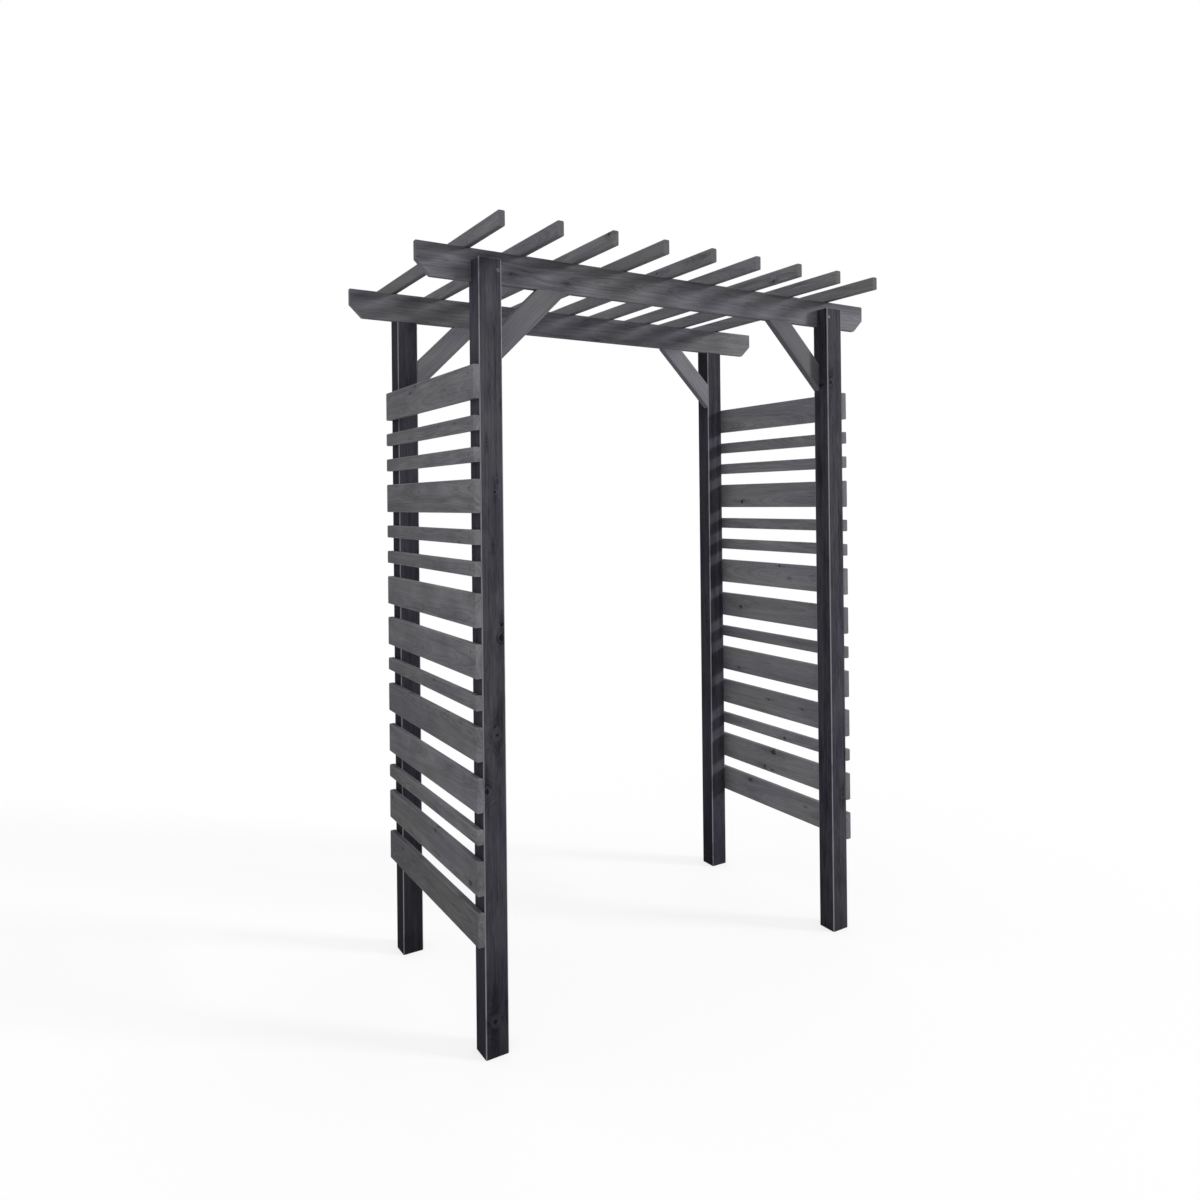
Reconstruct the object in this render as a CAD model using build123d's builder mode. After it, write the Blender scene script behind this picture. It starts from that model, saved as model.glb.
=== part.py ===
# Timber garden arch: four posts, two slatted sides, two beams, nine rafters and four knee braces.
# Millimetres. X runs along the beams, Y from front to back, Z up.
# The origin lies on the ground, in the middle of the four posts.
import os
from math import radians, sqrt, tan

from build123d import *

# Posts
arch_width = 1400.0  # across the outer faces of the posts
arch_depth = 770.0  # across the front and back faces of the posts
post_side = 70.0
post_height = 2225.0
post_round = 4.0  # rounded corners

# Slats of the two sides, from the top row down: w is a wide board, n a narrow one
slat_pattern = "wnnwnnwwnwwnww"
wide_slat = 95.0
narrow_slat = 42.0
slat_thickness = 20.0
slat_gap = 46.0
ground_clear = 315.0  # lower edge of the lowest row above the ground

# Beams, let into the inner faces of the posts
beam_height = 95.0
beam_thickness = 20.0
beam_overhang = 160.0  # past the outer faces of the posts
beam_seat = 60.0  # height of the rebate at the post top
beam_clip = 42.0  # lower corner cut off at 45 degrees

# Rafters, on edge across the two beams
rafter_count = 9
rafter_height = 42.0
rafter_thickness = 20.0
rafter_overhang = 175.0  # past the front and back faces of the posts
rafter_end_margin = 164.0  # beam end to the middle of the outer rafter
rafter_shift = -12.0  # the set sits a little left of the middle

# Knee braces at 45 degrees, flush with the inner faces of the posts
brace_width = 70.0
brace_thickness = 28.0
brace_leg = 232.0  # lower edge, measured down the post and along the beam

board_ease = 2.5  # chamfer on the long edges of all boards

# Countersunk screws, kept light with six sides
screw_sides = 6
screw_head = 4.5  # radius
screw_shank = 2.2  # radius
screw_angle = 90.0  # of the countersunk head
screw_clearance = 0.1
screw_bite = 30.0  # length held in the second piece
wide_screw_spacing = 50.0  # between the two screws at each end of a wide slat
beam_screw_cover = 6.0  # wood left beyond the tip in the beam
beam_screw_edge = 10.0  # from the passage side of the post
beam_screw_drop = 32.0  # from the post top

# Levels and planes that the pieces share
half_width = arch_width / 2
half_depth = arch_depth / 2
passage_x = half_width - post_side
inner_y = half_depth - post_side
post_x = half_width - post_side / 2
post_y = half_depth - post_side / 2
beam_bottom = post_height - beam_seat
beam_top = beam_bottom + beam_height
beam_length = arch_width + 2 * beam_overhang
beam_y = inner_y + beam_thickness / 2
rafter_length = arch_depth + 2 * rafter_overhang
rafter_pitch = (beam_length - 2 * rafter_end_margin) / (rafter_count - 1)
rafter_places = [rafter_shift + (i - (rafter_count - 1) / 2) * rafter_pitch for i in range(rafter_count)]
brace_y = inner_y + brace_thickness / 2
sides = {"left": -1, "right": 1}
rows = {"front": -1, "back": 1}
corners = [(side, row) for side in sides.values() for row in rows.values()]

# Middle height and width of each slat row, with the heights of its screws above that middle
slat_rows = []
row_bottom = ground_clear
for kind in reversed(slat_pattern):
    width = wide_slat if kind == "w" else narrow_slat
    screw_heights = [-wide_screw_spacing / 2, wide_screw_spacing / 2] if kind == "w" else [0]
    slat_rows.insert(0, (row_bottom + width / 2, width, screw_heights))
    row_bottom += width + slat_gap

os.makedirs("parts", exist_ok=True)


def save(part, name):
    part.label = name
    export_step(part, f"parts/{name}.step")


def slat_screws_at(side, row, slat_row):
    """Head planes of the screws that hold one end of one slat to a post."""
    level, _, screw_heights = slat_row
    outer_x = side * (half_width + slat_thickness)
    return [Plane((outer_x, row * post_y, level + h), z_dir=(side, 0, 0)) for h in screw_heights]


def beam_screw_at(side, row):
    """Head plane of the screw that goes through a post into the beam."""
    x = side * (passage_x + beam_screw_edge)
    return Plane((x, row * half_depth, post_height - beam_screw_drop), z_dir=(0, row, 0))


def rafter_screw_at(x, row):
    """Head plane of the screw that goes down through a rafter into a beam."""
    return Plane((x, row * beam_y, beam_top + rafter_height))


def brace_screws_at(side, row):
    """Head planes of the two screws of a brace, square to its lower edge: at the post, then at the beam."""
    reach = brace_width / 2 / sqrt(2)
    at_post = (side * (passage_x - reach), row * brace_y, beam_bottom - brace_leg + reach)
    at_beam = (side * (passage_x - brace_leg + reach), row * brace_y, beam_bottom - reach)
    return [Plane(point, z_dir=(-side, 0, -1)) for point in (at_post, at_beam)]


def screw_shape(length, clearance=0.0):
    """Screw that hangs below the XY plane, or with a clearance the hole that it leaves."""
    head = screw_head + clearance
    shank = screw_shank + clearance
    with BuildPart() as shape:
        with BuildSketch():
            RegularPolygon(head, screw_sides)
        extrude(amount=(shank - head) / tan(radians(screw_angle / 2)))
        draft(shape.faces().filter_by(Axis.Z, reverse=True), Plane.XY, -screw_angle / 2)
        with BuildSketch():
            RegularPolygon(shank, screw_sides)
        extrude(amount=-length - clearance)
    return shape.part


slat_screw_length = slat_thickness + screw_bite
beam_screw_length = post_side - beam_screw_cover
rafter_screw_length = rafter_height + screw_bite
brace_screw_length = brace_width / 2 + screw_bite
slat_hole = screw_shape(slat_screw_length, screw_clearance)
beam_hole = screw_shape(beam_screw_length, screw_clearance)
rafter_hole = screw_shape(rafter_screw_length, screw_clearance)
brace_hole = screw_shape(brace_screw_length, screw_clearance)


def eased_board(plane, width, height, length):
    """Straight board with eased long edges, centred on its plane, in the part that is being made."""
    with BuildSketch(plane) as section:
        Rectangle(width, height)
        chamfer(section.vertices(), board_ease)
    extrude(section.sketch, amount=length / 2, both=True)


# Posts: square timber with a rebate for the beam at the top of the inner face
for side_name, side in sides.items():
    for row_name, row in rows.items():
        with BuildPart() as post:
            with BuildSketch():
                with Locations((side * post_x, row * post_y)):
                    RectangleRounded(post_side, post_side, post_round)
            extrude(amount=post_height)
            with Locations((side * post_x, row * beam_y, post_height)):
                Box(post_side, beam_thickness, 2 * beam_seat, mode=Mode.SUBTRACT)
            with Locations([plane for place in slat_rows for plane in slat_screws_at(side, row, place)]):
                add(slat_hole, mode=Mode.SUBTRACT)
            with Locations(beam_screw_at(side, row)):
                add(beam_hole, mode=Mode.SUBTRACT)
            with Locations(brace_screws_at(side, row)[0]):
                add(brace_hole, mode=Mode.SUBTRACT)
        save(post.part, f"post_{row_name}_{side_name}")

# Side slats: boards across the outer faces of two posts, flush with them at both ends
for side_name, side in sides.items():
    for number, place in enumerate(slat_rows, start=1):
        level, width, _ = place
        middle = Plane((side * (half_width + slat_thickness / 2), 0, level), x_dir=(1, 0, 0), z_dir=(0, 1, 0))
        with BuildPart() as slat:
            eased_board(middle, slat_thickness, width, arch_depth)
            for row in rows.values():
                with Locations(slat_screws_at(side, row, place)):
                    add(slat_hole, mode=Mode.SUBTRACT)
        save(slat.part, f"slat_{side_name}_{number:02d}")

# Beams: boards on edge with their lower corners cut off
for row_name, row in rows.items():
    middle = Plane((0, row * beam_y, beam_bottom + beam_height / 2), x_dir=(0, 1, 0), z_dir=(1, 0, 0))
    with BuildPart() as beam:
        eased_board(middle, beam_thickness, beam_height, beam_length)
        for side in sides.values():
            end_x = side * beam_length / 2
            with BuildSketch(Plane.XZ):
                with BuildLine():
                    Polyline(
                        (end_x, beam_bottom),
                        (end_x, beam_bottom + beam_clip),
                        (end_x - side * beam_clip, beam_bottom),
                        close=True,
                    )
                make_face()
            extrude(amount=arch_depth, both=True, mode=Mode.SUBTRACT)
            with Locations(beam_screw_at(side, row)):
                add(beam_hole, mode=Mode.SUBTRACT)
            with Locations(brace_screws_at(side, row)[1]):
                add(brace_hole, mode=Mode.SUBTRACT)
        with Locations([rafter_screw_at(x, row) for x in rafter_places]):
            add(rafter_hole, mode=Mode.SUBTRACT)
    save(beam.part, f"beam_{row_name}")

# Rafters: laths on edge, lying on both beams
for number, x in enumerate(rafter_places, start=1):
    middle = Plane((x, 0, beam_top + rafter_height / 2), x_dir=(1, 0, 0), z_dir=(0, 1, 0))
    with BuildPart() as rafter:
        eased_board(middle, rafter_thickness, rafter_height, rafter_length)
        with Locations([rafter_screw_at(x, row) for row in rows.values()]):
            add(rafter_hole, mode=Mode.SUBTRACT)
    save(rafter.part, f"rafter_{number}")

# Knee braces: boards along the diagonal, mitred to the post and to the underside of the beam
for side_name, side in sides.items():
    for row_name, row in rows.items():
        inset = brace_leg / 2 - brace_width / 2 / sqrt(2)
        middle = Plane(
            (side * (passage_x - inset), row * brace_y, beam_bottom - inset),
            x_dir=(0, 1, 0),
            z_dir=(side, 0, -1),
        )
        with BuildPart() as brace:
            eased_board(middle, brace_thickness, brace_width, 2 * brace_leg)
            split(bisect_by=Plane((side * passage_x, 0, 0), z_dir=(side, 0, 0)), keep=Keep.BOTTOM)
            split(bisect_by=Plane((0, 0, beam_bottom)), keep=Keep.BOTTOM)
            with Locations(brace_screws_at(side, row)):
                add(brace_hole, mode=Mode.SUBTRACT)
        save(brace.part, f"brace_{row_name}_{side_name}")

# Screws, one set for each kind of joint
screw_sets = {
    "slat_screws": (
        slat_screw_length,
        [plane for corner in corners for place in slat_rows for plane in slat_screws_at(*corner, place)],
    ),
    "beam_screws": (beam_screw_length, [beam_screw_at(*corner) for corner in corners]),
    "rafter_screws": (
        rafter_screw_length,
        [rafter_screw_at(x, row) for x in rafter_places for row in rows.values()],
    ),
    "brace_screws": (brace_screw_length, [plane for corner in corners for plane in brace_screws_at(*corner)]),
}
for name, (length, planes) in screw_sets.items():
    one_screw = screw_shape(length)
    with BuildPart() as screws:
        with Locations(planes):
            add(one_screw)
    save(screws.part, name)
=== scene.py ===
# Timber garden arch, dressed for its picture: grey stained softwood, round screw heads, soft daylight
import math
import random

import bmesh
import bpy
from mathutils import Matrix, Vector


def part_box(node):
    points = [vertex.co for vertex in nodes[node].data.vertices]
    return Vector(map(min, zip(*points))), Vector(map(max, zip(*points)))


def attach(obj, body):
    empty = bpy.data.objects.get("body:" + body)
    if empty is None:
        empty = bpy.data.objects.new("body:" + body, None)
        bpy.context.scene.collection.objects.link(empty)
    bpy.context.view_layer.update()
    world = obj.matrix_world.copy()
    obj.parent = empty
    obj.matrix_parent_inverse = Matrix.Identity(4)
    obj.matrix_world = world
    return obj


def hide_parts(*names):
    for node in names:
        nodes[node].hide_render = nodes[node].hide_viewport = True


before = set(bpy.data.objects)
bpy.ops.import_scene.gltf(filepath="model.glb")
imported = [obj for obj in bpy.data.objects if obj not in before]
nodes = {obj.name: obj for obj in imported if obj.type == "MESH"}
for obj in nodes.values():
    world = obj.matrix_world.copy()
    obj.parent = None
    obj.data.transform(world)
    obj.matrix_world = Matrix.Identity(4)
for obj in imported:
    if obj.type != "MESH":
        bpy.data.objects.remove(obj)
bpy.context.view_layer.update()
print("frame loaded,", len(nodes), "nodes")


class Wire:  # a socket that sums can be written with
    def __init__(self, graph, socket):
        self.graph = graph
        self.socket = socket

    def join(self, operation, first, second=0.0):
        return self.graph.add("ShaderNodeMath", {"operation": operation}, {0: first, 1: second})

    def __add__(self, other):
        return self.join("ADD", self, other)

    def __radd__(self, other):
        return self.join("ADD", other, self)

    def __sub__(self, other):
        return self.join("SUBTRACT", self, other)

    def __rsub__(self, other):
        return self.join("SUBTRACT", other, self)

    def __mul__(self, other):
        return self.join("MULTIPLY", self, other)

    def __rmul__(self, other):
        return self.join("MULTIPLY", other, self)

    def __truediv__(self, other):
        return self.join("DIVIDE", self, other)

    def __rtruediv__(self, other):
        return self.join("DIVIDE", other, self)

    def __pow__(self, other):
        return self.join("POWER", self, other)

    def __rpow__(self, other):
        return self.join("POWER", other, self)

    def __abs__(self):
        return self.join("ABSOLUTE", self)

    def fraction(self):
        return self.join("FRACT", self)

    def least(self, other):
        return self.join("MINIMUM", self, other)

    def most(self, other):
        return self.join("MAXIMUM", self, other)


class Graph:  # a node tree that is written line by line
    def __init__(self, owner):
        owner.use_nodes = True
        self.tree = owner.node_tree
        self.tree.nodes.clear()

    def add(self, kind, settings=None, sockets=None, out=0):
        node = self.tree.nodes.new(kind)
        for key, value in (settings or {}).items():
            setattr(node, key, value)
        for key, value in (sockets or {}).items():
            if isinstance(value, Wire):
                self.tree.links.new(value.socket, node.inputs[key])
            else:
                node.inputs[key].default_value = value
        return Wire(self, node.outputs[out]) if node.outputs else None

    def vector(self, operation, first, second, out=0):
        return self.add("ShaderNodeVectorMath", {"operation": operation}, {0: first, 1: second}, out)

    def dot(self, first, second):
        return self.vector("DOT_PRODUCT", first, second, "Value")

    def parts(self, place):
        return [self.dot(place, axis) for axis in ((1, 0, 0), (0, 1, 0), (0, 0, 1))]

    def point(self, x, y, z):
        return self.add("ShaderNodeCombineXYZ", None, {0: x, 1: y, 2: z})

    def noise(self, place, detail=2.0, roughness=0.5):
        sockets = {"Vector": place, "Scale": 1.0, "Detail": detail, "Roughness": roughness}
        return self.add("ShaderNodeTexNoise", None, sockets)

    def rise(self, value, low, high):  # 0 below low, 1 above high, smooth between
        sockets = {"Value": value, "From Min": low, "From Max": high}
        return self.add("ShaderNodeMapRange", {"interpolation_type": "SMOOTHSTEP"}, sockets)

    def mix(self, share, first, second, mode="MIX"):  # colours
        settings = {"data_type": "RGBA", "blend_type": mode}
        return self.add("ShaderNodeMix", settings, {0: share, 6: first, 7: second}, 2)


def colour(red, green, blue):
    return (red, green, blue, 1.0)


# Timber: growth rings round a pith that runs askew along the board, knots, blotchy stain, pale arrises
# that are partly wear and partly painted highlight
grainMarks = {  # marks in each metre along and across the grain, fineness, its roughness, start
    "fibre": (6.0, 230.0, 3.0, 0.6),
    "fleck": (24.0, 340.0, 2.0, 0.55),
    "hair": (50.0, 1500.0, 1.0),
    "runs": (3.0, 70.0, 2.0, 0.5, (0.0, 0.0, 5.0)),
    "drift": (2.2, 6.0, 2.0, 0.5, (7.0, 0.0, 0.0)),
    "ragged": (70.0, 70.0, 3.0, 0.6),
    "patchy": (38.0, 38.0, 1.0, 0.5, (0.0, 3.0, 0.0)),
}
maskSpans = {  # where each mask starts and where it is full
    "endFace": (0.6, 0.9),
    "arris": (0.16, 0.42),
    "swirl": (0.0, 3.4),  # in knot radii, as the five below
    "heart": (0.5, 1.0),
    "inside": (0.75, 1.05),
    "rimStart": (0.7, 0.95),
    "rimEnd": (1.0, 1.35),
    "flare": (0.3, 1.3),
    "patchy": (0.46, 0.62),
    "yearEnd": (0.94, 1.0),
    "runs": (0.58, 0.74),
    "drift": (0.4, 0.62),
    "tone": (-0.15, 1.15),
    "foot": (0.0, 0.45),  # metres above the ground
    # head: the band of painted shade under the beams
    "head": (1.86, 1.96),
    "shadedTop": (0.0, 0.05),  # metres above the middle of the board, where the painted shade under the rafters falls
    "tips": (0.64, 0.74),  # metres from the middle of the arch
    "worn": (0.2, 0.5),
}
timberForm = {
    "shift": (2.0, 40.0),  # metres along the tree
    "knotSpread": 1.6,  # few large knots, many small ones
    "knotLeast": 0.0004,
    "knotStretch": 0.5,  # along the grain, squared
    "placedStretch": 0.6,
    "flareStretch": 0.03,
    "raggedRim": 1.1,
    "raggedHeart": 1.6,
    "raggedFlare": 0.5,
    "insidePale": 0.3,
    "heartDark": 0.9,
    "flareDark": 0.3,
    "pithLeast": 0.5,
    "leanAcross": 0.02,
    "swayRatio": 1.3,
    "yearPace": 60.0,
    "yearSwing": 3.0,
    "yearEdge": 4.0,  # how late in a year the wood turns dark
    "figurePace": 120.0,
    "figureSpread": (0.5, 1.5),  # some boards show their figure more
    "cloudDetail": (3.0, 0.55),
    "hairTone": 0.3,
    "paler": 0.06,
    "toneRough": 0.14,
    "heartRough": 0.1,
    "wornRough": 0.1,
    "bumpStrength": 0.4,
    "bumpDepth": 0.0006,
}
relief = {
    "fibre": 0.5,
    "fleck": 0.3,
    "lateWood": 0.35,
    "hair": 0.3,
    "heart": 0.6,  # how much deeper the hearts of the knots lie
}


def stainedTimber(name, look, along, across, through):
    form = timberForm
    draw = random.Random(name)
    material = bpy.data.materials.new(name + "_stain")
    graph = Graph(material)
    low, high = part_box(name)
    centre = (low + high) / 2
    place = graph.add("ShaderNodeTexCoord", None, None, "Object")
    facing = graph.add("ShaderNodeNewGeometry", None, None, "Normal")
    shift = draw.uniform(*form["shift"])  # every board is cut from another stretch of tree
    lengthwise = graph.dot(place, along)
    u = lengthwise - centre.dot(along) + shift
    v = graph.dot(place, across) - centre.dot(across)
    w = graph.dot(place, through) - centre.dot(through)

    def mask(value, kind):
        return graph.rise(value, *maskSpans[kind])

    def marks(alongPace, acrossPace, detail, roughness=0.5, start=None):
        spot = graph.point(u * alongPace, v * acrossPace, w * acrossPace)
        if start:
            spot = graph.vector("ADD", spot, start)
        return graph.noise(spot, detail, roughness)

    endFacing = abs(graph.dot(facing, along))
    acrossFace = abs(graph.dot(facing, across))
    throughFace = abs(graph.dot(facing, through))
    endFace = mask(endFacing, "endFace")
    bend = acrossFace * throughFace + endFacing * (acrossFace + throughFace)
    arris = mask(bend, "arris")  # 0 on flat faces, 1 on rounded edges

    # knots: level is 1 at the rim of the nearest one, core at the rim of its heart,
    # and flare reaches further along the grain
    cell = look["knotSpacing"]
    knotKind = {"voronoi_dimensions": look["knotSpace"]}
    knotPlace = graph.point(u / cell, v / cell + shift, w * (look["knotDepth"] / cell))
    knotSockets = {"Vector": knotPlace, "Scale": 1.0}
    knotCentre = graph.add("ShaderNodeTexVoronoi", knotKind, knotSockets, "Position")
    knotLot = graph.add("ShaderNodeTexVoronoi", knotKind, knotSockets, "Color")
    offset = graph.vector("SUBTRACT", knotPlace, knotCentre)
    knotShare = graph.dot(knotLot, (1, 0, 0)) ** form["knotSpread"]
    knotSize = knotShare * look["knotRadius"] + form["knotLeast"]
    du, dv, dw = (part * cell for part in graph.parts(offset))
    sideSquare = dv * dv + dw * dw
    level = (du * du * form["knotStretch"] + sideSquare) ** 0.5 / knotSize
    flare = (du * du * form["flareStretch"] + sideSquare) ** 0.5 / knotSize
    core = level / look["heart"]
    for knotAlong, knotAcross, knotRadius, knotHeart in pieceKnots.get(name, ()):
        du = lengthwise - knotAlong
        dv = v + centre.dot(across) - knotAcross
        knotLevel = (du * du * form["placedStretch"] + dv * dv) ** 0.5 / knotRadius
        level = level.least(knotLevel)
        core = core.least(knotLevel / knotHeart)
        flare = flare.least((du * du * form["flareStretch"] + dv * dv) ** 0.5 / knotRadius)
    swirl = 1 - mask(level, "swirl")
    ragged = marks(*grainMarks["ragged"]) - 0.5
    level = level + ragged * form["raggedRim"]
    patchy = mask(marks(*grainMarks["patchy"]), "patchy")
    heart = 1 - mask(core + ragged * form["raggedHeart"], "heart")
    inside = 1 - mask(level, "inside")
    rim = mask(level, "rimStart") * (1 - mask(level, "rimEnd")) * patchy
    flare = 1 - mask(flare + ragged * form["raggedFlare"], "flare")

    # rings
    pithAcross = draw.uniform(-1, 1) * look["pithAcross"]
    pithThrough = draw.choice((-1, 1)) * draw.uniform(form["pithLeast"], 1) * look["pithThrough"]
    leanAcross = draw.uniform(-form["leanAcross"], form["leanAcross"])
    leanThrough = draw.uniform(-1, 1) * look["lean"]
    swayPlace = u * look["swayPace"]
    sway = graph.noise(graph.point(swayPlace, shift, 0.0)) - 0.5
    swayMore = graph.noise(graph.point(swayPlace * form["swayRatio"], 0.0, shift)) - 0.5
    fromAcross = v - pithAcross + (u - shift) * leanAcross + sway * look["sway"]
    fromThrough = w - pithThrough + (u - shift) * leanThrough + swayMore * look["sway"]
    radius = (fromAcross * fromAcross + fromThrough * fromThrough) ** 0.5 + swirl * look["swirl"]
    pace = graph.noise(graph.point(radius * form["yearPace"], shift, 0.0), 1.0)  # wide and narrow years
    season = (radius / look["ring"] + pace * form["yearSwing"]).fraction()
    lateWood = season ** form["yearEdge"] * (1 - mask(season, "yearEnd"))
    figurePlace = {"W": radius * form["figurePace"] + shift, "Scale": 1.0, "Detail": 1.0}
    figure = graph.add("ShaderNodeTexNoise", {"noise_dimensions": "1D"}, figurePlace)
    ringPower = look["lateWood"] * draw.uniform(*form["figureSpread"])

    # fibre, flecks, blotches and dark runs in the stain
    fibre = marks(*grainMarks["fibre"])
    fleck = marks(*grainMarks["fleck"])
    hair = marks(*grainMarks["hair"])
    cloud = marks(*look["cloudPace"], *form["cloudDetail"])
    drift = mask(marks(*grainMarks["drift"]), "drift")
    runs = mask(marks(*grainMarks["runs"]), "runs")
    tone = 0.5 + (cloud - 0.5) * look["cloud"] + (fibre - 0.5) * look["fibre"]
    tone = tone + (figure - 0.5) * look["figure"] + (fleck - 0.5) * look["fleck"]
    tone = tone + (hair - 0.5) * form["hairTone"] + form["paler"]
    tone = tone - lateWood * ringPower - runs * look["runs"] - flare * form["flareDark"]
    tone = mask(tone, "tone")

    board = (1 + draw.uniform(-1, 1) * look["boardSpread"]) * look["tone"]
    dark = colour(*(c * board for c in look["dark"]))
    pale = colour(*(c * board for c in look["pale"]))
    stain = graph.mix(tone, dark, pale)
    cool = graph.mix(drift, colour(1, 1, 1), colour(*look["coolTint"]))
    stain = graph.mix(1.0, stain, cool, "MULTIPLY")
    # painted shade and light: faces that look across the piece (the posts' sides, the boards' top and
    # bottom faces) are darkened or paled for how light falls on them
    paintedFaceShading = graph.mix(1.0, stain, colour(*look["acrossTint"]), "MULTIPLY")
    stain = graph.mix(acrossFace, stain, paintedFaceShading)
    stain = graph.mix(inside * form["insidePale"], stain, pale)

    shade = 1 - endFace * (1 - look["endShade"])
    # painted light and shade: the piece is made steadily paler or darker along its length, for how
    # light falls along it
    shade = shade * (1 + lengthwise * look["lift"])
    # painted shade: the top of the front beam is darkened where the rafters shade it
    shade = shade * (1 - mask(v, "shadedTop") * (1 - look["topShade"]))
    shade = shade * (1 + mask(abs(lengthwise), "tips") * look["tips"])  # painted light: the beams' free ends are paler, clear of the rafters' shade
    if along == upright:  # darker towards the posts' feet, and painted shade under the beams at one head
        shade = shade * (1 - (1 - mask(lengthwise, "foot")) * (1 - look["footShade"]))
        shade = shade * (1 - mask(lengthwise, "head") * (1 - look["headShade"]))
    stain = graph.mix(1.0, stain, graph.point(shade, shade, shade), "MULTIPLY")
    knotCover = (rim * look["rim"]).most(heart * form["heartDark"])
    stain = graph.mix(knotCover, stain, colour(*look["knot"]))
    # pale arrises: partly wear, partly a painted highlight where the rounded edges catch the light
    worn = arris * mask(cloud, "worn") * look["wear"]
    stain = graph.mix(worn, stain, colour(*look["worn"]))

    roughness = look["roughness"] + (tone - 0.5) * form["toneRough"]
    roughness = roughness + heart * form["heartRough"] - worn * form["wornRough"]
    height = fibre * relief["fibre"] + fleck * relief["fleck"] + lateWood * relief["lateWood"]
    height = height + hair * relief["hair"] - heart * relief["heart"]
    bump = {"Strength": form["bumpStrength"], "Distance": form["bumpDepth"], "Height": height}
    sockets = {
        "Base Color": stain,
        "Roughness": roughness,
        "Normal": graph.add("ShaderNodeBump", None, bump),
        "Specular IOR Level": look["shine"],
    }
    surface = graph.add("ShaderNodeBsdfPrincipled", None, sockets)
    graph.add("ShaderNodeOutputMaterial", None, {"Surface": surface})
    return material


pieceChanges = {  # each piece's own stain, with some painted light and shade, as the photograph shows it
    "post_front_left": {
        "tone": 0.92,
        "lift": 0.26,
        "wear": 0.8,
        "acrossTint": (1.0, 0.98, 1.1),
        "fibre": 0.55,
        "runs": 0.24,
    },
    "post_front_right": {
        "tone": 1.04,
        "lift": 0.06,
        "footShade": 0.84,
        "acrossTint": (0.99, 0.98, 1.03),
        "fibre": 0.95,
        "fleck": 0.85,
        "runs": 0.42,
    },
    # painted shade: this post is darker low down and in the middle, where the slats shade it
    "post_back_left": {
        "dark": (0.012, 0.0113, 0.0172),
        "pale": (0.0575, 0.0552, 0.067),
        "coolTint": (0.97, 0.94, 1.0),
        "tone": 0.38,
        "lift": 1.05,
        "footShade": 1.0,
        "wear": 0.7,
        "acrossTint": (0.68, 0.66, 0.7),
    },
    # painted light and shade: paler overall between the sun's bands, darker at the head under the beams
    "post_back_right": {
        "coolTint": (0.93, 0.9, 1.1),
        "tone": 1.37,
        "lift": 0.06,
        "footShade": 0.52,
        "headShade": 0.68,
        "acrossTint": (0.64, 0.63, 0.66),
    },
    "beam_front": {"tone": 1.02, "topShade": 0.62, "tips": 0.18},
    "beam_back": {"tone": 0.94, "lift": 0.0, "tips": 0.15},
    # painted light: the lower end by the post and the underside are paler, against the post's shadow
    "brace_front_right": {"tone": 1.5, "lift": -0.3, "acrossTint": (1.2, 1.2, 1.23)},
    # painted light: the rear braces are paler than the front ones, for the sun they catch
    "brace_back_left": {"tone": 1.92},
    "brace_back_right": {"tone": 1.65},
    "rafter_1": {"tone": 0.74, "lift": -0.45},
    "slat_left_01": {"tone": 0.81},
    "slat_left_02": {"tone": 0.83},
    "slat_left_03": {"tone": 0.78},
    "slat_left_05": {"tone": 0.7},
    "slat_left_07": {"tone": 0.84, "figure": 0.3},
    "slat_left_08": {"tone": 0.77},
    "slat_left_10": {"tone": 0.66},
    "slat_left_13": {"tone": 0.66},
    "slat_left_14": {
        "tone": 0.48,
        "endShade": 1.15,
        "cloud": 1.7,
        "fibre": 1.2,
        "fleck": 1.0,
        "lateWood": 0.9,
    },
    "slat_right_01": {"tone": 1.12},
    "slat_right_02": {"tone": 1.13},
    "slat_right_03": {"tone": 1.14},
    "slat_right_06": {"tone": 1.06},
    "slat_right_07": {"tone": 1.17},
    "slat_right_09": {"tone": 0.93},
    "slat_right_10": {"tone": 1.04},
    "slat_right_14": {"tone": 1.08},
}
# knots that the photograph shows: place along and across the piece, radius, share of the dark heart
pieceKnots = {
    "post_front_left": (
        (1.163, -0.643, 0.012, 0.85),
        (1.2, -0.64, 0.008, 0.7),
        (0.894, -0.657, 0.016, 0.24),
        (0.742, -0.689, 0.013, 0.7),
        (0.1, -0.672, 0.017, 0.36),
        (1.42, -0.665, 0.005, 0.6),
        (1.571, -0.657, 0.007, 0.6),
        (1.605, -0.65, 0.005, 0.6),
        (1.71, -0.681, 0.006, 0.6),
        (1.81, -0.637, 0.004, 0.6),
    ),
    "post_front_right": ((1.96, 0.643, 0.014, 0.6), (0.48, 0.682, 0.012, 0.5)),
    "slat_left_01": ((0.13, 1.898, 0.008, 0.9),),
    "slat_left_09": ((-0.06, 1.003, 0.006, 0.9),),
    "slat_left_10": ((-0.148, 0.917, 0.006, 0.9),),
    "slat_left_13": ((-0.06, 0.545, 0.01, 0.9), (-0.334, 0.48, 0.012, 0.9)),
    "slat_left_14": ((0.251, 0.388, 0.008, 0.9), (0.152, 0.38, 0.007, 0.9)),
    "slat_right_04": ((0.183, 1.536, 0.012, 0.9),),
    "slat_right_07": ((-0.042, 1.282, 0.007, 0.9), (-0.098, 1.236, 0.005, 0.9)),
    "slat_right_08": ((0.2, 1.1, 0.011, 0.9),),
    "slat_right_10": ((0.212, 0.846, 0.007, 0.9),),
    "slat_right_12": ((-0.06, 0.609, 0.007, 0.9),),
    "slat_right_13": ((0.006, 0.541, 0.015, 0.9), (0.06, 0.473, 0.01, 0.9)),
    "slat_right_14": ((0.149, 0.396, 0.011, 0.9),),
}
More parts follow.
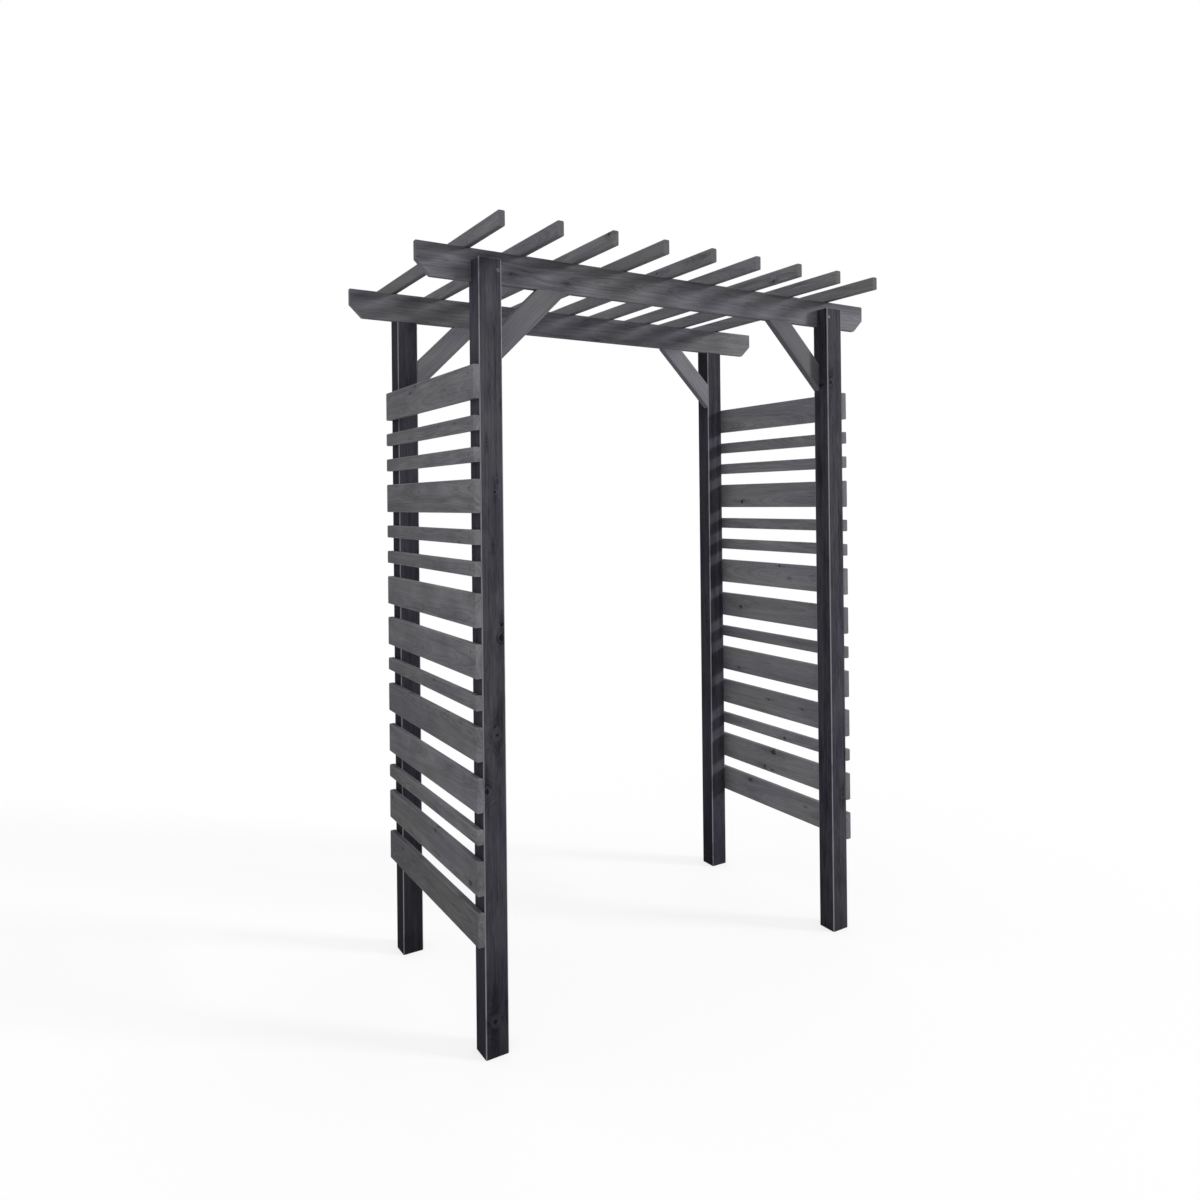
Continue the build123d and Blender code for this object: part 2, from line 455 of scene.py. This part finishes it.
boardLook = {  # what all pieces start from
    "tone": 1.0,
    "lift": 0.0,  # painted light: paler for each metre up, to the back or to the right, along the piece
    "dark": (0.0954, 0.0947, 0.1),
    "pale": (0.2385, 0.237, 0.2465),
    "coolTint": (0.91, 0.9, 0.99),
    "acrossTint": (0.85, 0.85, 0.87),
    "knot": (0.018, 0.018, 0.02),
    "worn": (0.21, 0.21, 0.215),
    "wear": 0.4,
    "boardSpread": 0.06,
    "cloudPace": (4.0, 13.0),
    "cloud": 0.7,
    "fibre": 0.6,
    "fleck": 0.5,
    "figure": 0.45,
    "lateWood": 0.36,
    "runs": 0.14,
    "endShade": 0.78,
    "footShade": 1.0,
    "headShade": 1.0,
    "topShade": 1.0,
    "tips": 0.0,  # painted light: how much paler the free ends are
    "ring": 0.0034,
    "pithAcross": 0.035,
    "pithThrough": 0.06,
    "lean": 0.05,
    "sway": 0.03,
    "swayPace": 2.6,
    "swirl": 0.012,
    "knotSpace": "2D",
    "knotDepth": 0.0,
    "knotSpacing": 0.19,
    "knotRadius": 0.012,
    "heart": 0.9,
    "rim": 0.6,
    "roughness": 0.64,
    "shine": 0.12,
}
rightLook = boardLook | {
    "lift": -0.2,
    "acrossTint": (1.0, 1.0, 1.02),
    "endShade": 0.65,
    "lateWood": 0.29,
    "knotRadius": 0.007,
}
leftLook = rightLook | {
    "tone": 0.735,
    "lift": -0.45,
    "acrossTint": (1.12, 1.12, 1.14),
    "endShade": 0.83,
    "cloudPace": (9.0, 16.0),
    "cloud": 1.15,
    "fibre": 0.8,
    "fleck": 0.65,
    "figure": 0.65,
    "lateWood": 0.5,
    "runs": 0.2,
}
beamLook = boardLook | {
    "dark": (0.05, 0.0493, 0.0555),
    "pale": (0.165, 0.1635, 0.1735),
    "cloudPace": (7.0, 30.0),
    "cloud": 0.95,
    "lateWood": 0.2,
    "lean": 0.03,
    "knotRadius": 0.006,
    "endShade": 1.06,
}
rafterLook = boardLook | {
    "dark": (0.1, 0.0993, 0.1045),
    "pale": (0.245, 0.2435, 0.2525),
    "endShade": 0.52,
}
braceLook = boardLook | {
    "dark": (0.062, 0.0612, 0.066),
    "pale": (0.124, 0.1225, 0.131),
    "lateWood": 0.3,
}
postLook = boardLook | {
    "dark": (0.013, 0.0124, 0.0168),
    "pale": (0.062, 0.0603, 0.067),
    "coolTint": (0.92, 0.9, 1.02),
    "acrossTint": (0.78, 0.755, 0.87),
    "knot": (0.005, 0.005, 0.006),
    "worn": (0.33, 0.322, 0.35),
    "wear": 0.9,
    "cloudPace": (7.0, 22.0),
    "cloud": 1.05,
    "fibre": 0.7,
    "fleck": 0.6,
    "lateWood": 0.22,
    "runs": 0.34,
    "footShade": 0.62,
    "pithAcross": 0.025,
    "pithThrough": 0.02,
    "lean": 0.008,
    "sway": 0.012,
    "swayPace": 0.9,
    "knotSpace": "3D",
    "knotDepth": 1.0,
    "knotSpacing": 0.14,
    "knotRadius": 0.014,
    "heart": 0.36,
    "rim": 0.8,
    "roughness": 0.66,
    "shine": 0.02,
}
upright, sideways, inwards = Vector((0, 0, 1)), Vector((1, 0, 0)), Vector((0, 1, 0))
timberKinds = {  # look, then the directions along, across and through the piece
    "post": (postLook, upright, sideways, inwards),
    "slat": (rightLook, inwards, upright, sideways),
    "beam": (beamLook, sideways, upright, inwards),
    "rafter": (rafterLook, inwards, upright, sideways),
}


def braceDirections(name):  # a brace climbs from its post towards the middle of the arch
    low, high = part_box(name)
    climb = Vector((-math.copysign(1, low.x + high.x), 0, 1)).normalized()
    return braceLook, climb, climb.cross(inwards), inwards


# The frame's screws: where each head lies, which way it faces and how long the screw is
screwSearch = {"weld": 1e-6, "ringSpare": 0.001}


def looseSolids(name):
    mesh = bmesh.new()
    mesh.from_mesh(nodes[name].data)
    bmesh.ops.remove_doubles(mesh, verts=mesh.verts, dist=screwSearch["weld"])
    seen = set()
    solids = []
    for start in mesh.verts:
        if start in seen:
            continue
        seen.add(start)
        group = [start]
        for vertex in group:  # grows while it is walked
            for edge in vertex.link_edges:
                other = edge.other_vert(vertex)
                if other not in seen:
                    seen.add(other)
                    group.append(other)
        solids.append([vertex.co.copy() for vertex in group])
    mesh.free()
    return solids


def screwPlace(corners):  # the head is the end with the wider ring of corners
    middle = sum(corners, Vector()) / len(corners)
    far = max(corners, key=lambda p: (p - middle).length)
    rough = (far - middle).normalized()
    heights = [p.dot(rough) for p in corners]
    spare = screwSearch["ringSpare"]
    rings = [
        [p for p in corners if p.dot(rough) < min(heights) + spare],
        [p for p in corners if p.dot(rough) > max(heights) - spare],
    ]
    centres = [sum(ring, Vector()) / len(ring) for ring in rings]
    widths = [(ring[0] - centre).length for ring, centre in zip(rings, centres)]
    head, tail = centres if widths[0] > widths[1] else reversed(centres)
    return head, (head - tail).normalized(), (head - tail).length


screwKinds = ("slat", "beam", "rafter", "brace")
screwPlaces = {}
for kind in screwKinds:
    screwPlaces[kind] = [screwPlace(corners) for corners in looseSolids(kind + "_screws")]
print("screws found,", sum(len(places) for places in screwPlaces.values()))


# Boards and posts: rounded along their length, eased at the ends, with a round sink for each screw head
shaping = {
    "boardRound": 0.0036,
    "postRound": 0.004,
    "roundSteps": 4,
    "endRound": 0.0012,
    "endSteps": 2,
    "beamClip": 0.042,  # lower corners of the beams
    "postSeat": 0.06,  # rebate for the beam
    "postRebate": 0.02,
    "braceWidth": 0.07,
    "sinkRadius": 0.0051,
    "sinkFloor": 0.0022,
    "sinkSteps": 20,
    "parallel": 0.999,  # cosine above which two directions count as one
    "flush": 0.0002,
    "headSpare": 0.0001,
    "seatSpare": 0.001,
    "arrisLeast": 0.1,
    "endCosine": 0.5,
    "sharpAngle": 40.0,
    "faceWeight": 80,  # large faces lead the shading
}


def sideOutline(kind, low, high):  # the corners of a piece, seen through its thickness
    if kind == "beam":
        clip = shaping["beamClip"]
        return [
            (low.x, high.z),
            (high.x, high.z),
            (high.x, low.z + clip),
            (high.x - clip, low.z),
            (low.x + clip, low.z),
            (low.x, low.z + clip),
        ]
    if kind == "brace":
        side = math.copysign(1, low.x + high.x)
        atPost, atBeam = (high.x, low.x) if side > 0 else (low.x, high.x)
        slant = shaping["braceWidth"] * math.sqrt(2)
        return [
            (atPost, low.z),
            (atPost, low.z + slant),
            (atBeam + side * slant, high.z),
            (atBeam, high.z),
        ]
    if kind == "post":
        row = math.copysign(1, low.y + high.y)
        outer, inner = (high.y, low.y) if row > 0 else (low.y, high.y)
        rebate = inner + row * shaping["postRebate"]
        seat = high.z - shaping["postSeat"]
        return [
            (outer, low.z),
            (inner, low.z),
            (inner, seat),
            (rebate, seat),
            (rebate, high.z),
            (outer, high.z),
        ]
    return [(low.y, low.z), (high.y, low.z), (high.y, high.z), (low.y, high.z)]


def ringPoints(steps, radius, height):
    angles = [2 * math.pi * i / steps for i in range(steps)]
    return [Vector((radius * math.cos(a), radius * math.sin(a), height)) for a in angles]


def faceUnder(mesh, top, axis):  # the flat face that a screw head lies in
    level = []
    for face in mesh.faces:
        drop = (face.verts[0].co - top).dot(axis)
        if face.normal.dot(axis) > shaping["parallel"] and abs(drop) < shaping["flush"]:
            level.append(face)
    return max(level, key=lambda face: face.calc_area())


def sinkHeads(mesh, places):  # each flat face with screw heads is filled anew round its sinks
    steps, wide, narrow = (shaping[key] for key in ("sinkSteps", "sinkRadius", "sinkFloor"))
    shared = {}
    for top, axis, _ in places:
        shared.setdefault(faceUnder(mesh, top, axis), []).append((top, axis))
    for face, heads in shared.items():
        outline = list(face.edges)
        for top, axis in heads:
            turned = Matrix.Translation(top) @ axis.to_track_quat("Z", "Y").to_matrix().to_4x4()
            rim = [mesh.verts.new(turned @ p) for p in ringPoints(steps, wide, 0.0)]
            floor = [mesh.verts.new(turned @ p) for p in ringPoints(steps, narrow, narrow - wide)]
            for i in range(steps):
                mesh.faces.new((rim[i], rim[i - 1], floor[i - 1], floor[i]))
                edge = mesh.edges.get((rim[i], rim[i - 1]))
                edge.smooth = False
                outline.append(edge)
            mesh.faces.new(floor)
        mesh.faces.remove(face)
        bmesh.ops.triangle_fill(mesh, edges=outline, use_beauty=True)


def shapePiece(name, kind, along):
    low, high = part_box(name)
    flatToFront = kind in ("beam", "brace")
    mesh = bmesh.new()
    rims = []
    for depth in (low.y, high.y) if flatToFront else (low.x, high.x):
        outline = sideOutline(kind, low, high)
        corners = [(p, depth, z) if flatToFront else (depth, p, z) for p, z in outline]
        rims.append([mesh.verts.new(corner) for corner in corners])
    for rim in rims:
        mesh.faces.new(rim)
    for i in range(len(rims[0])):
        mesh.faces.new((rims[0][i - 1], rims[0][i], rims[1][i], rims[1][i - 1]))
    bmesh.ops.recalc_face_normals(mesh, faces=mesh.faces)

    arrises = []
    for edge in mesh.edges:
        way = edge.verts[1].co - edge.verts[0].co
        lengthwise = abs(way.normalized().dot(along)) > shaping["parallel"]
        if lengthwise and way.length > shaping["arrisLeast"]:
            arrises.append(edge)
    reach = shaping["postRound" if kind == "post" else "boardRound"]
    rounded = {"segments": shaping["roundSteps"], "profile": 0.5, "affect": "EDGES"}
    bmesh.ops.bevel(mesh, geom=arrises, offset=reach, **rounded)

    seat = high.z - shaping["postSeat"]
    ends = [face for face in mesh.faces if abs(face.normal.dot(along)) > shaping["endCosine"]]
    if kind == "post":  # the rebate stays crisp
        ends = [face for face in ends if abs(face.verts[0].co.z - seat) > shaping["seatSpare"]]
    bent = math.radians(shaping["sharpAngle"])
    sharp = [edge for edge in mesh.edges if edge.calc_face_angle(0.0) > bent]
    sharp = [edge for edge in sharp if any(face in ends for face in edge.link_faces)]
    eased = {"segments": shaping["endSteps"], "profile": 0.5, "affect": "EDGES"}
    bmesh.ops.bevel(mesh, geom=sharp, offset=shaping["endRound"], **eased)

    spare = shaping["headSpare"]
    places = []
    for screwKind in screwKinds:
        for place in screwPlaces[screwKind]:
            if all(low[i] - spare < place[0][i] < high[i] + spare for i in range(3)):
                places.append(place)
    sinkHeads(mesh, places)
    bmesh.ops.recalc_face_normals(mesh, faces=mesh.faces)
    return mesh


def addPiece(mesh, name, material, node, slot):
    data = bpy.data.meshes.new(name)
    mesh.to_mesh(data)
    mesh.free()
    data.materials.append(material)
    piece = bpy.data.objects.new(name, data)
    bpy.context.scene.collection.objects.link(piece)
    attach(piece, "root")
    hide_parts(node)
    return piece


for name in nodes:
    kind = name.split("_")[0]
    if name.endswith("_screws"):
        continue
    look, *directions = braceDirections(name) if kind == "brace" else timberKinds[kind]
    if name.startswith("slat_left"):
        look = leftLook
    look = look | pieceChanges.get(name, {})
    stain = stainedTimber(name, look, *directions)
    mesh = shapePiece(name, kind, directions[0])
    timber = addPiece(mesh, name + "_timber", stain, name, kind + "_stain")
    timber.data.shade_smooth()
    even = timber.modifiers.new("even", "WEIGHTED_NORMAL")
    even.weight = shaping["faceWeight"]
    even.keep_sharp = True
print("timber shaped and stained")


# Screws: round heads with a cross recess, plain shanks and points
screwLook = {
    "segments": 20,
    "headRadius": 0.0046,
    "edgeIn": 0.0003,
    "edgeDown": 0.0002,
    "sunk": 0.0003,
    "rim": 0.0009,
    "shankRadius": 0.0019,
    "point": 0.006,
    "crossReach": 0.0024,
    "crossHalfWidth": 0.0006,
    "crossDepth": 0.0013,
    "crossTaper": 0.55,
}


def addScrew(mesh, place, length):
    look = screwLook
    steps = look["segments"]
    top = -look["sunk"]
    head, shank = look["headRadius"], look["shankRadius"]
    outline = [  # radius and height, from the head's edge to the point
        (head - look["edgeIn"], top),
        (head, top - look["edgeDown"]),
        (head, -look["rim"]),
        (shank, -look["rim"] - head + shank),
        (shank, look["point"] - length),
    ]
    rings = []
    for radius, height in outline:
        rings.append([mesh.verts.new(place @ p) for p in ringPoints(steps, radius, height)])
    for upper, lower in zip(rings, rings[1:]):
        for i in range(steps):
            mesh.faces.new((upper[i], upper[i - 1], lower[i - 1], lower[i]))
    tip = mesh.verts.new(place @ Vector((0, 0, -length)))
    for i in range(steps):
        mesh.faces.new((rings[-1][i], rings[-1][i - 1], tip))
    # cross recess: one arm's corners, turned four times
    reach, half = look["crossReach"], look["crossHalfWidth"]
    taper, bottomHeight = look["crossTaper"], top - look["crossDepth"]
    cross = []
    for quarter in range(4):
        turn = Matrix.Rotation(quarter * math.pi / 2, 4, "Z")
        for corner in ((half, half), (half, reach), (-half, reach)):
            cross.append(turn @ Vector((*corner, top)))
    brim = [mesh.verts.new(place @ p) for p in cross]
    narrowed = (Vector((p.x * taper, p.y * taper, bottomHeight)) for p in cross)
    bottom = [mesh.verts.new(place @ p) for p in narrowed]
    for i in range(len(brim)):
        mesh.faces.new((brim[i - 1], brim[i], bottom[i], bottom[i - 1]))
    mesh.faces.new(bottom)
    edges = []
    for ring in (rings[0], brim):
        edges += [mesh.edges.get((ring[i], ring[i - 1])) for i in range(len(ring))]
    bmesh.ops.triangle_fill(mesh, edges=edges, use_beauty=True)


metalLook = {
    "spotPace": 700.0,
    "spots": (0.38, 0.62),
    "swirlPace": 2600.0,
    "swirlRough": 0.25,
    "roughness": 0.55,
    "metallic": 0.8,
    "bumpStrength": 0.3,
    "bumpDepth": 0.0001,
}


def screwMetal(name, bare, tarnish):
    look = metalLook
    spotPace, swirlPace = look["spotPace"], look["swirlPace"]
    material = bpy.data.materials.new(name)
    graph = Graph(material)
    place = graph.add("ShaderNodeTexCoord", None, None, "Object")
    x, y, z = graph.parts(place)
    spots = graph.noise(graph.point(x * spotPace, y * spotPace, z * spotPace), 3.0, 0.6)
    swirls = graph.noise(graph.point(x * swirlPace, y * swirlPace, z * swirlPace), 1.0)
    bump = {"Strength": look["bumpStrength"], "Distance": look["bumpDepth"], "Height": swirls}
    sockets = {
        "Base Color": graph.mix(graph.rise(spots, *look["spots"]), colour(*bare), colour(*tarnish)),
        "Metallic": look["metallic"],
        "Roughness": look["roughness"] + (swirls - 0.5) * look["swirlRough"],
        "Normal": graph.add("ShaderNodeBump", None, bump),
    }
    surface = graph.add("ShaderNodeBsdfPrincipled", None, sockets)
    graph.add("ShaderNodeOutputMaterial", None, {"Surface": surface})
    return material


zinc = screwMetal("zincPlate", (0.086, 0.086, 0.09), (0.056, 0.056, 0.06))
stainedHead = screwMetal("stainedScrew", (0.1, 0.1, 0.104), (0.06, 0.06, 0.065))
for kind in screwKinds:
    node = kind + "_screws"
    turns = random.Random(node)
    mesh = bmesh.new()
    for top, axis, length in screwPlaces[kind]:
        turned = axis.to_track_quat("Z", "Y").to_matrix().to_4x4()
        spin = Matrix.Rotation(turns.uniform(0, math.pi / 2), 4, "Z")
        addScrew(mesh, Matrix.Translation(top) @ turned @ spin, length)
    bmesh.ops.recalc_face_normals(mesh, faces=mesh.faces)
    addPiece(mesh, kind + "_screw_set", zinc if kind == "beam" else stainedHead, node, "screw_zinc")
print("screws driven in")


# Floor, world and lamp
stageLook = {
    "floorRadius": 14.0,
    "floorSides": 96,
    "floorShade": 0.6,
    "floorSeen": 1.0,
    "floorGlow": 0.75,
    "sky": 0.8,
    "sunStrength": 2.4,
    "sunAngle": 11.0,
    "sunWay": (-2.2, 2.0, -0.87),
}


def seenDirectly(graph):  # 1 for what the eye, a mirror or glass looks at
    ray = graph.add("ShaderNodeLightPath", None, None, "Is Camera Ray")
    node = ray.socket.node
    mirror = Wire(graph, node.outputs["Is Glossy Ray"])
    glass = Wire(graph, node.outputs["Is Transmission Ray"])
    return ray.most(mirror).most(glass)


def paleFloor():
    mesh = bmesh.new()
    sides, radius = stageLook["floorSides"], stageLook["floorRadius"]
    bmesh.ops.create_circle(mesh, cap_ends=True, segments=sides, radius=radius)
    data = bpy.data.meshes.new("floor")
    mesh.to_mesh(data)
    mesh.free()
    floor = bpy.data.objects.new("floor", data)
    bpy.context.scene.collection.objects.link(floor)
    material = bpy.data.materials.new("paleFloor")
    graph = Graph(material)
    seen = seenDirectly(graph)
    shade = stageLook["floorShade"] + seen * (stageLook["floorSeen"] - stageLook["floorShade"])
    matt = graph.add("ShaderNodeBsdfDiffuse", None, {"Color": graph.point(shade, shade, shade)})
    glow = graph.add("ShaderNodeEmission", None, {"Color": colour(1, 1, 1), "Strength": 1.0})
    share = seen * stageLook["floorGlow"]
    surface = graph.add("ShaderNodeMixShader", None, {0: share, 1: matt, 2: glow})
    graph.add("ShaderNodeOutputMaterial", None, {"Surface": surface})
    data.materials.append(material)


def daylight():
    world = bpy.data.worlds.new("daylight")
    bpy.context.scene.world = world
    graph = Graph(world)
    seen = seenDirectly(graph)
    strength = seen + (1 - seen) * stageLook["sky"]
    sky = graph.add("ShaderNodeBackground", None, {"Color": colour(1, 1, 1), "Strength": strength})
    graph.add("ShaderNodeOutputWorld", None, {"Surface": sky})
    lamp = bpy.data.lights.new("softSun", "SUN")
    lamp.energy = stageLook["sunStrength"]
    lamp.angle = math.radians(stageLook["sunAngle"])
    sun = bpy.data.objects.new("softSun", lamp)
    sun.rotation_euler = Vector(stageLook["sunWay"]).to_track_quat("-Z", "Y").to_euler()
    bpy.context.scene.collection.objects.link(sun)


# Camera, as the photograph was taken
cameraView = {
    "place": (-1.68693, -2.70571, 1.53927),
    "heading": 32.764,  # degrees from straight ahead towards the right
    "tilt": 0.158,
    "roll": -0.614,
    "frame": 1200.0,  # pixels
    "focus": 899.54,  # focal length in pixels
    "middle": (634.74, 499.45),  # where the lens axis meets the frame
    "sensor": 36.0,
    "farthest": 60.0,
}


def photographCamera():
    view = cameraView
    heading, tilt, roll = (math.radians(view[key]) for key in ("heading", "tilt", "roll"))
    level = math.cos(tilt)
    ahead = Vector((math.sin(heading) * level, math.cos(heading) * level, math.sin(tilt)))
    right = Vector((math.cos(heading), -math.sin(heading), 0))
    up = right.cross(ahead)
    rolledRight = right * math.cos(roll) + up * math.sin(roll)
    rolledUp = up * math.cos(roll) - right * math.sin(roll)
    data = bpy.data.cameras.new("photograph")
    data.sensor_width = view["sensor"]
    data.lens = view["focus"] / view["frame"] * view["sensor"]
    data.shift_x = 0.5 - view["middle"][0] / view["frame"]
    data.shift_y = view["middle"][1] / view["frame"] - 0.5
    data.clip_end = view["farthest"]
    camera = bpy.data.objects.new("photograph", data)
    turn = Matrix((rolledRight, rolledUp, -ahead)).transposed().to_4x4()
    camera.matrix_world = Matrix.Translation(view["place"]) @ turn
    bpy.context.scene.collection.objects.link(camera)
    bpy.context.scene.camera = camera


paleFloor()
daylight()
photographCamera()
bpy.context.scene.view_settings.view_transform = "Standard"
print("stage set")
